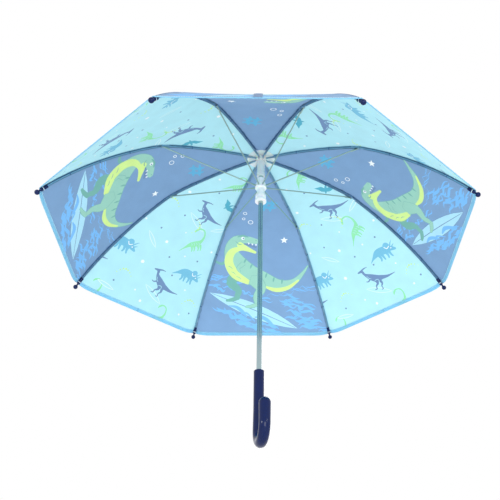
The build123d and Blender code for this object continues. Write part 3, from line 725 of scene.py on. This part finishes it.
def sew_panel(k, cut, base):
    """Makes the six pieces of one panel, each for the rib that carries it."""
    points, triangles, inks = cut
    colours = {**INKS, "base": base}
    own_side, bands = split_panel(points, triangles)
    for side in (1, -1):
        for band in KEEP:
            chosen = [i for i in range(len(triangles)) if own_side[i] == (side > 0) and bands[i] == band]
            used = sorted({v for i in chosen for v in triangles[i]})
            number = {v: n for n, v in enumerate(used)}
            flat = points[used]
            faces = [[number[v] for v in triangles[i]] for i in chosen]
            placed = turned(cloth(flat[:, 0], flat[:, 1]), panel_azimuth(k))
            rib = k if side > 0 else k % RIBS + 1
            piece = make_piece(f"panel_{k}_{band}_{a_or_b(side)}", placed, faces, panel_cloth)
            add_attribute(piece.data, "flat", "FLOAT_VECTOR", "POINT",
                          np.column_stack([flat, np.zeros(len(flat))]))
            ink = np.repeat([colours[inks[i]] for i in chosen], 3, axis=0)
            add_attribute(piece.data, "ink", "FLOAT_COLOR", "CORNER", ink)
            yield piece, rib, side, band, flat, faces


def flat_area(flat, faces):
    """Area of triangles of flat cloth."""
    a, b, c = (flat[[f[i] for f in faces]] for i in range(3))
    cross = (b - a)[:, 0] * (c - a)[:, 1] - (b - a)[:, 1] * (c - a)[:, 0]
    return float(np.abs(cross).sum() / 2)


def swept(name, stations, flat, material):
    """Closed band through rings of points, with their places on the flat cloth."""
    rings, count = len(stations), len(stations[0])
    faces = [[r * count + i, r * count + (i + 1) % count,
              (r + 1) * count + (i + 1) % count, (r + 1) * count + i]
             for r in range(rings - 1) for i in range(count)]
    faces += [list(range(count))[::-1], list(range((rings - 1) * count, rings * count))]
    piece = make_piece(name, np.vstack(stations), faces, material)
    add_attribute(piece.data, "flat", "FLOAT_VECTOR", "POINT", np.vstack(flat))
    return piece


def laid_flat(x, s):
    """Flat places (x, s) as vectors for the weave of a piece that isn't a panel."""
    x = np.asarray(x, float)
    return np.column_stack([x, s + 0 * x, 0 * x])


def beside_rib(rib, s, across, lift):
    """Points across a rib's plane at a height over its seam."""
    slope = np.interp(s, ALONG, RIB_SLOPE)
    out, height = radius_at(s) + lift * np.sin(slope), height_at(s) + lift * np.cos(slope)
    return turned(np.stack([out, across, height], -1), rib_azimuth(rib))


def tape(width, rounding, thick, lift=0.0):
    """Section of a tape as (distance from its edge, lift)."""
    across = np.array([0, rounding, width - rounding, width, width, width - rounding, rounding, 0])
    height = np.array([0.5, 1.0, 1.0, 0.5, -0.5, -1.0, -1.0, -0.5]) * thick / 2
    return np.stack([across, height + lift], 1)


HEM_SECTION = tape(HEM_WIDTH, 0.6 * MM, 1.0 * MM)
HEM_OVERHANG = 0.3 * MM             # binding past the edge of the cloth
PUCKER, PUCKER_PHASE = 0.15 * MM, 95.0      # height of its ripples, and radians of them in half a hem
STITCH_WIDE, STITCH_LONG = 2.0 * MM, 0.44 * MM
STITCH_LIFTS = (-0.75 * MM, 0.75 * MM)      # on both faces of the binding
STITCH_STEP = 3.1 / 132             # share of half a hem: 3.1 mm of 132 mm
STITCH_FROM_EDGE = 1.2 * MM
HEM_STATIONS, ALLOWANCE_STATIONS, RIDGE_STATIONS, STRAP_STATIONS = 45, 32, 40, 30


def sew_hem(k, side):
    """Binding tape folded over half of a panel's hem, with its row of stitches."""
    stations, flat = [], []
    for u in np.linspace(0, 1, HEM_STATIONS):
        s = hem_at(u) + HEM_OVERHANG - HEM_SECTION[:, 0]
        x = side * u * half_width(np.minimum(s, REACH))
        lift = HEM_SECTION[:, 1] + PUCKER * np.sin(u * PUCKER_PHASE)
        stations.append(turned(cloth(x, s, lift), panel_azimuth(k)))
        flat.append(laid_flat(x, s))
    hem = swept(f"hem_{k}_{a_or_b(side)}", stations, flat, hem_cloth)
    return hem, sew_stitches(k, side)


def sew_stitches(k, side):
    """Short raised threads across the binding's inner edge."""
    corners = np.array([(-1, -1), (-1, 1), (1, 1), (1, -1)]) * (STITCH_WIDE / 2, STITCH_LONG / 2)
    points, faces = [], []
    for u in np.arange(0.02, 0.98, STITCH_STEP):
        s = hem_at(u) - HEM_WIDTH + STITCH_FROM_EDGE
        x = side * u * half_width(min(s, REACH))
        for lift in STITCH_LIFTS:
            first = len(points)
            for height in (lift * 0.6, lift):
                placed = cloth(x + corners[:, 0], s + corners[:, 1], height)
                points.extend(turned(placed, panel_azimuth(k)))
            faces.append([first + 4 + i for i in range(4)])
            faces += [[first + i, first + (i + 1) % 4, first + 4 + (i + 1) % 4, first + 4 + i]
                      for i in range(4)]
    return make_piece(f"hem_stitches_{k}_{a_or_b(side)}", points, faces, thread)


ELBOW_REACH = float(elbow_line(np.ones(1))[0])
SEAM_STRETCH = {
    "crown": (SEAM_START, CROWN_BAND), "inner": (CROWN_BAND, ELBOW_REACH),
    "outer": (ELBOW_REACH, REACH - SEAM_SHORT),
}
RIDGE = np.array([(-1.0, -0.1), (-0.5, 0.15), (0.5, 0.15), (1.0, -0.1), (1.0, -0.5), (-1.0, -0.5)]) * MM


def sew_allowance(rib, side, band):
    """Turned-in edge of one panel along a seam. On a navy panel its free edge is wavy."""
    k = rib if side > 0 else (rib - 2) % RIBS + 1
    stations, flat = [], []
    for s in np.linspace(*SEAM_STRETCH[band], ALLOWANCE_STATIONS):
        wave = WAVE * abs(math.sin(s / WAVE_SPACING + side)) * (k % 2 == 0)
        section = tape(SEAM_WIDTH + wave, 0.4 * MM, 0.4 * MM, -0.45 * MM)
        x = side * (half_width(s) - section[:, 0])
        stations.append(turned(cloth(x, s, section[:, 1]), panel_azimuth(k))[::side])
        flat.append(laid_flat(x, s)[::side])
    name = f"allowance_{rib}_{a_or_b(side)}_{band}"
    # Allowances take the darker seam colours: painted shade over real turned-in cloth.
    return swept(name, stations, flat, seam_navy_painted_shade if k % 2 == 0 else seam_aqua_painted_shade)


def sew_ridge(rib, band):
    """The closed seam itself, over its rib."""
    along = np.linspace(*SEAM_STRETCH[band], RIDGE_STATIONS)
    stations = [beside_rib(rib, s, RIDGE[:, 0], RIDGE[:, 1]) for s in along]
    # The ridge's dark colour is painted shade along the rib.
    return swept(f"seam_{rib}_{band}", stations, [laid_flat(RIDGE[:, 0], s) for s in along], seam_navy_painted_shade)


ROUND_RIB = {"wide": 1.9 * MM, "low": -5.1 * MM, "high": -0.1 * MM}
ROUND_TIP = {"wide": 3.1 * MM, "low": -6.7 * MM, "high": 0.6 * MM}


def wind_thread(name, rib, places, material, turns, wide, low, high, gauge=0.28 * MM):
    """Windings of thread round a rib or tip, from low to high beside the seam."""
    points, faces = [], []
    around, sides = 20, 6               # corners along a turn, and round the thread
    for s in places:
        for turn in range(turns):
            first = len(points)
            at = s + (turn - (turns - 1) / 2) * 2 * gauge
            for a in np.arange(around) * 2 * math.pi / around:
                for b in np.arange(sides) * 2 * math.pi / sides:
                    out = gauge * math.cos(b)
                    across = (wide + out) * math.cos(a)
                    lift = (high + low) / 2 + ((high - low) / 2 + out) * math.sin(a)
                    points.append(beside_rib(rib, at + gauge * math.sin(b), across, lift))
            for i in range(around):
                here, there = first + i * sides, first + (i + 1) % around * sides
                faces += [[here + j, there + j, there + (j + 1) % sides, here + (j + 1) % sides]
                          for j in range(sides)]
    return make_piece(name, points, faces, material)


def sew_strap():
    """Strap that holds the rolled umbrella, lying up the outside of its panel."""
    section = tape(2 * STRAP_HALF, 0.5 * MM, 0.5 * MM, 0.75 * MM) - (STRAP_HALF, 0)
    stations, flat = [], []
    end = REACH + STRAP_PAST_HEM
    for s in np.linspace(end - STRAP_LENGTH, end, STRAP_STATIONS):
        placed = cloth(section[:, 0], np.full(len(section), s), section[:, 1])
        stations.append(turned(placed, panel_azimuth(STRAP_PANEL))[::-1])
        flat.append(laid_flat(section[:, 0], s)[::-1])
    return swept("strap", stations, flat, strap_cloth)


STUD = np.array([(2.2, 1.15), (2.8, 1.4), (3.8, 1.4), (4.4, 1.2), (4.4, 0.9)]) * MM     # radius, lift
STUD_CORNERS = 24


def strap_snap():
    """Press stud at the strap's free end."""
    centre = REACH - STUD_FROM_HEM
    angles = np.arange(STUD_CORNERS) * 2 * math.pi / STUD_CORNERS
    rings = [cloth(r * np.cos(angles), centre + r * np.sin(angles), lift) for r, lift in STUD]
    middle = cloth(np.zeros(1), np.array([centre]), STUD[0, 1])
    points = turned(np.vstack([*rings, middle]), panel_azimuth(STRAP_PANEL))
    after = [(i + 1) % STUD_CORNERS for i in range(STUD_CORNERS)]
    faces = [[STUD_CORNERS * r + i, STUD_CORNERS * r + after[i],
              STUD_CORNERS * (r + 1) + after[i], STUD_CORNERS * (r + 1) + i]
             for r in range(len(STUD) - 1) for i in range(STUD_CORNERS)]
    faces += [[len(points) - 1, after[i], i] for i in range(STUD_CORNERS)]
    return make_piece("strap_snap", points, faces, slate_plastic)


# ---- the canopy put together --------------------------------------------------------------------
cuts = {True: flat_panel(navy_prints()), False: flat_panel(aqua_prints())}
for k in range(1, RIBS + 1):
    navy = k % 2 == 0
    slot = "navy_fabric" if navy else "aqua_fabric"
    for piece, rib, side, band, flat, faces in sew_panel(k, cuts[navy], NAVY if navy else AQUA):
        width, length = np.ptp(flat, axis=0)
        allowance = sew_allowance(rib, side, band)
        trims = [allowance]
        if band == "outer":
            for trim in sew_hem(k, side):
                trims.append(trim)
        for trim in trims:
            fold_away(trim, rib, side, band)
        flat_area(flat, faces)
        fold_away(piece, rib, side, band)
        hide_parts(f"canopy_panel_{k}")

for rib in range(1, RIBS + 1):
    for band in KEEP:
        ridge = sew_ridge(rib, band)
        ties = wind_thread(f"ties_{rib}_{band}", rib, TIES[band], dark_thread, 3, **ROUND_RIB)
        pieces = [ridge, ties]
        if band == "outer":
            corner = (REACH - CORNER_THREAD,)
            pieces.append(wind_thread(f"corner_thread_{rib}", rib, corner, thread, 2, **ROUND_TIP))
        for piece in pieces:
            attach(piece, f"rib_end_{rib}" if band == "outer" else f"rib_{rib}")

strap, snap = sew_strap(), strap_snap()
for piece, slot in ((strap, "navy_fabric"), (snap, "blue_plastic")):
    fold_away(piece, STRAP_PANEL, 1, "outer")
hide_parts("closure_strap")

# ---- camera, floor and light --------------------------------------------------------------------
# The eye comes from a perspective fit of the tips, elbows, crown and handle.
EYE = Vector((0.0164, -1.0830, -0.4734))
EYE_AZIMUTH, EYE_LIFT, EYE_ROLL = (math.radians(a) for a in (-1.960, 30.724, -0.892))
forward = Vector((-math.sin(EYE_AZIMUTH) * math.cos(EYE_LIFT), math.cos(EYE_AZIMUTH) * math.cos(EYE_LIFT),
                  math.sin(EYE_LIFT)))
level = Vector((math.cos(EYE_AZIMUTH), math.sin(EYE_AZIMUTH), 0))
rise = level.cross(forward)
right = level * math.cos(EYE_ROLL) + rise * math.sin(EYE_ROLL)
up = rise * math.cos(EYE_ROLL) - level * math.sin(EYE_ROLL)
camera = bpy.data.objects.new("camera", bpy.data.cameras.new("camera"))
camera.data.sensor_width, camera.data.lens = 36.0, 57.39
camera.data.shift_x, camera.data.shift_y = -0.0873, 0.0806      # the photo's framing
camera.matrix_world = Matrix.Translation(EYE) @ Matrix((right, up, -forward)).transposed().to_4x4()
bpy.context.scene.collection.objects.link(camera)
bpy.context.scene.camera = camera

bpy.context.scene.view_settings.view_transform = "Standard"
world = bpy.data.worlds.new("studio")
world.use_nodes = True
background = world.node_tree.nodes["Background"]
background.inputs["Color"].default_value = (1.0, 1.0, 1.0, 1.0)
background.inputs["Strength"].default_value = 1.0
bpy.context.scene.world = world


def add_light(name, place, aim, size, watts):
    """Square area light at a place, aimed at a point."""
    lamp = bpy.data.lights.new(name, "AREA")
    lamp.size, lamp.energy = size, watts
    light = bpy.data.objects.new(name, lamp)
    light.location = place
    light.rotation_euler = (Vector(aim) - Vector(place)).to_track_quat("-Z", "Y").to_euler()
    bpy.context.scene.collection.objects.link(light)


add_light("key", (0.4, 1.9, 1.0), (0, 0.1, 0.35), 1.2, 16)
add_light("fill", (0.2, -1.6, -0.5), (0, 0.15, 0.33), 1.0, 14)
add_light("sparkle", (1.1, -1.3, 0.25), (0, 0, 0), 0.18, 4.5)
add_light("glint", (-1.3, -1.0, 0.1), (0, 0, 0), 0.16, 3)

FLOOR_HEIGHT = -0.62        # below the camera, which looks up from under the canopy
bpy.ops.mesh.primitive_plane_add(size=12, location=(0, 0, FLOOR_HEIGHT))
floor = bpy.context.object
floor.name = "floor"
floor.data.materials.append(solid_look("floor", linear(242, 242, 240), 0.7, fine=40.0, relief=0.0))
